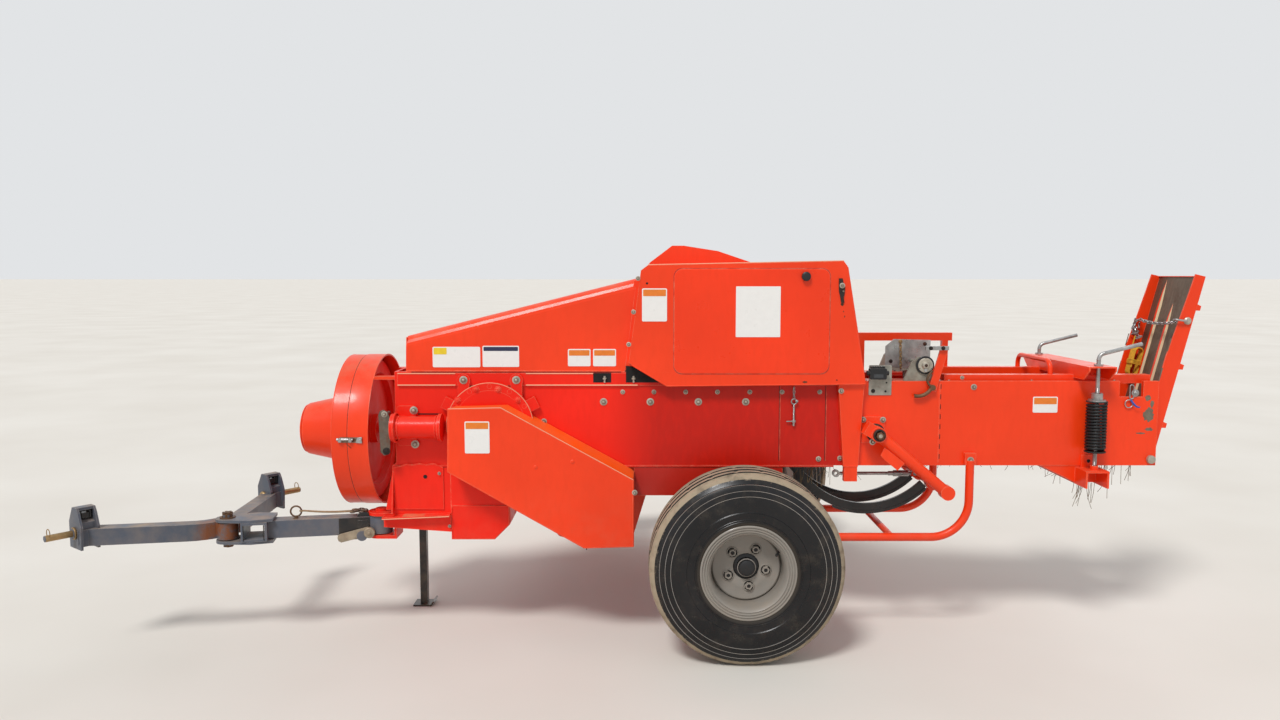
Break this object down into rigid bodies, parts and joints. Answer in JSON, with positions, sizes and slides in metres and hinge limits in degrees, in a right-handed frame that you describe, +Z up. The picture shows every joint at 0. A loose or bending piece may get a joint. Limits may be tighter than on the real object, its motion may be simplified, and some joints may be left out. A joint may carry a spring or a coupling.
{
  "type": "square baler",
  "caption": "Towed machine that picks up hay, presses it into square bales in a side chamber and ties them with twine.",
  "frame": {"origin": "on the ground, under the middle of the machine's length and width", "axes": "+X rearward, +Y to the machine's right, +Z up"},
  "size_m": [5.1772, 2.21, 1.815],
  "materials": {
    "paint_orange": "sunlit orange enamel, slightly worn",
    "paint_red": "orange-red enamel in the machine's shaded parts",
    "paint_black": "black enamel with bare edges",
    "paint_grey": "dark grey enamel, chipped and rusty",
    "rim_silver": "silver wheel enamel",
    "tyre_rubber": "dusty black rubber",
    "steel_plated": "zinc plated steel",
    "steel_bare": "bare steel, worn bright and rusty",
    "cast": "grey castings",
    "plastic_black": "black plastic and rubber"
  },
  "bodies": {
    "frame": {"case_left": "paint_orange", "case_right": "paint_orange", "case_front": "paint_orange", "chamber_left": "paint_orange", "chamber_right": "paint_orange", "chamber_floor": "paint_red", "chamber_top": "paint_red", "plunger": "steel_bare", "sub_frame": "paint_red", "front_frame": "paint_orange", "lower_housing": "paint_red", "gearbox": "paint_grey", "gearbox_cover": "paint_orange", "side_drive": "paint_orange", "belt_guard": "paint_orange", "flywheel_guard": "paint_orange", "pto_cone": "paint_orange", "front_hood": "paint_orange", "twine_box": "paint_orange", "knotters": "cast", "yoke_bearings": "paint_orange", "needle_guard": "paint_orange", "side_post": "paint_orange", "rear_bar": "paint_orange", "bale_counter": "plastic_black", "trip_arm": "paint_orange", "measure_shaft": "cast", "tension_rails": "paint_orange", "tension_springs": "paint_black", "tension_cranks": "steel_plated", "tension_saddles": "paint_orange", "axle": "paint_red", "feed_table": "paint_orange", "pickup_bearings": "paint_orange"},
    "wheel_left": {"hub_left": "paint_grey", "rim_left": "rim_silver", "tyre_left": "tyre_rubber"},
    "wheel_right": {"hub_right": "paint_grey", "rim_right": "rim_silver", "tyre_right": "tyre_rubber"},
    "flywheel": {"flywheel": "paint_red", "input_shaft": "steel_plated"},
    "tongue": {"tongue": "paint_grey"},
    "hitch": {"hitch_beam": "paint_grey"},
    "stand": {"parking_stand": "paint_black"},
    "door": {"twine_door": "paint_orange"},
    "lid": {"twine_lid": "paint_orange"},
    "yoke": {"needle_yoke": "paint_orange", "needles": "paint_black"},
    "rod": {"needle_rod": "steel_plated"},
    "chute": {"chute": "paint_orange"},
    "pickup": {"pickup_frame": "paint_orange", "strippers": "paint_orange"},
    "reel": {"pickup_reel": "paint_black"},
    "gauge": {"gauge_wheel": "tyre_rubber"},
    "auger": {"feed_auger": "paint_orange"},
    "measure": {"measure_wheel": "cast"}
  },
  "joints": [
    {"name": "wheel_left_spin", "type": "hinge", "parent": "frame", "child": "wheel_left", "pos_m": [0.45778, -0.96, 0.4225], "axis": [0, 1, 0], "continuous": true},
    {"name": "wheel_right_spin", "type": "hinge", "parent": "frame", "child": "wheel_right", "pos_m": [0.74779, 0.96, 0.4225], "axis": [0, 1, 0], "continuous": true},
    {"name": "flywheel_spin", "type": "hinge", "parent": "frame", "child": "flywheel", "pos_m": [-1.58221, -0.46, 0.94], "axis": [1, 0, 0], "continuous": true},
    {"name": "tongue_swing", "type": "hinge", "parent": "frame", "child": "tongue", "pos_m": [-1.21221, -0.64, 0.52], "axis": [0, 0, 1], "range_deg": [-35, 0]},
    {"name": "hitch_swivel", "type": "hinge", "parent": "tongue", "child": "hitch", "pos_m": [-1.88245, -0.76059, 0.52], "axis": [0, 0, 1], "range_deg": [-11, 88]},
    {"name": "stand_fold", "type": "hinge", "parent": "frame", "child": "stand", "pos_m": [-1.06421, -0.27, 0.58], "axis": [0, 1, 0], "range_deg": [-90, 0]},
    {"name": "door_open", "type": "hinge", "parent": "frame", "child": "door", "pos_m": [0.45778, -0.7643, 1.236], "axis": [1, 0, 0], "range_deg": [0, 110]},
    {"name": "lid_open", "type": "hinge", "parent": "frame", "child": "lid", "pos_m": [0.28779, -0.175, 1.736], "axis": [-1, 0, 0], "range_deg": [0, 100]},
    {"name": "needle_swing", "type": "hinge", "parent": "frame", "child": "yoke", "pos_m": [1.06778, -0.46, 0.965], "axis": [0, 1, 0], "range_deg": [0, 78]},
    {"name": "rod_swing", "type": "hinge", "parent": "yoke", "child": "rod", "pos_m": [1.33119, -0.46, 0.71808], "axis": [0, 1, 0], "range_deg": [-78, 0]},
    {"name": "chute_lower", "type": "hinge", "parent": "frame", "child": "chute", "pos_m": [2.34078, -0.46, 0.836], "axis": [0, 1, 0], "range_deg": [0, 78]},
    {"name": "pickup_lift", "type": "hinge", "parent": "frame", "child": "pickup", "pos_m": [0.00779, 0.34, 0.66], "axis": [0, 1, 0], "range_deg": [-30, 0]},
    {"name": "reel_spin", "type": "hinge", "parent": "pickup", "child": "reel", "pos_m": [-0.28221, 0.39, 0.505], "axis": [0, 1, 0], "continuous": true},
    {"name": "gauge_spin", "type": "hinge", "parent": "pickup", "child": "gauge", "pos_m": [-0.22221, 1.004, 0.33], "axis": [0, 1, 0], "continuous": true},
    {"name": "auger_spin", "type": "hinge", "parent": "frame", "child": "auger", "pos_m": [0.25779, 0.28, 0.945], "axis": [0, 1, 0], "continuous": true},
    {"name": "measure_spin", "type": "hinge", "parent": "frame", "child": "measure", "pos_m": [1.29579, -0.46, 1.27], "axis": [0, 1, 0], "continuous": true}
  ],
  "couplings": [
    {"joint": "rod_swing", "follows": "needle_swing", "ratio": -1}
  ]
}
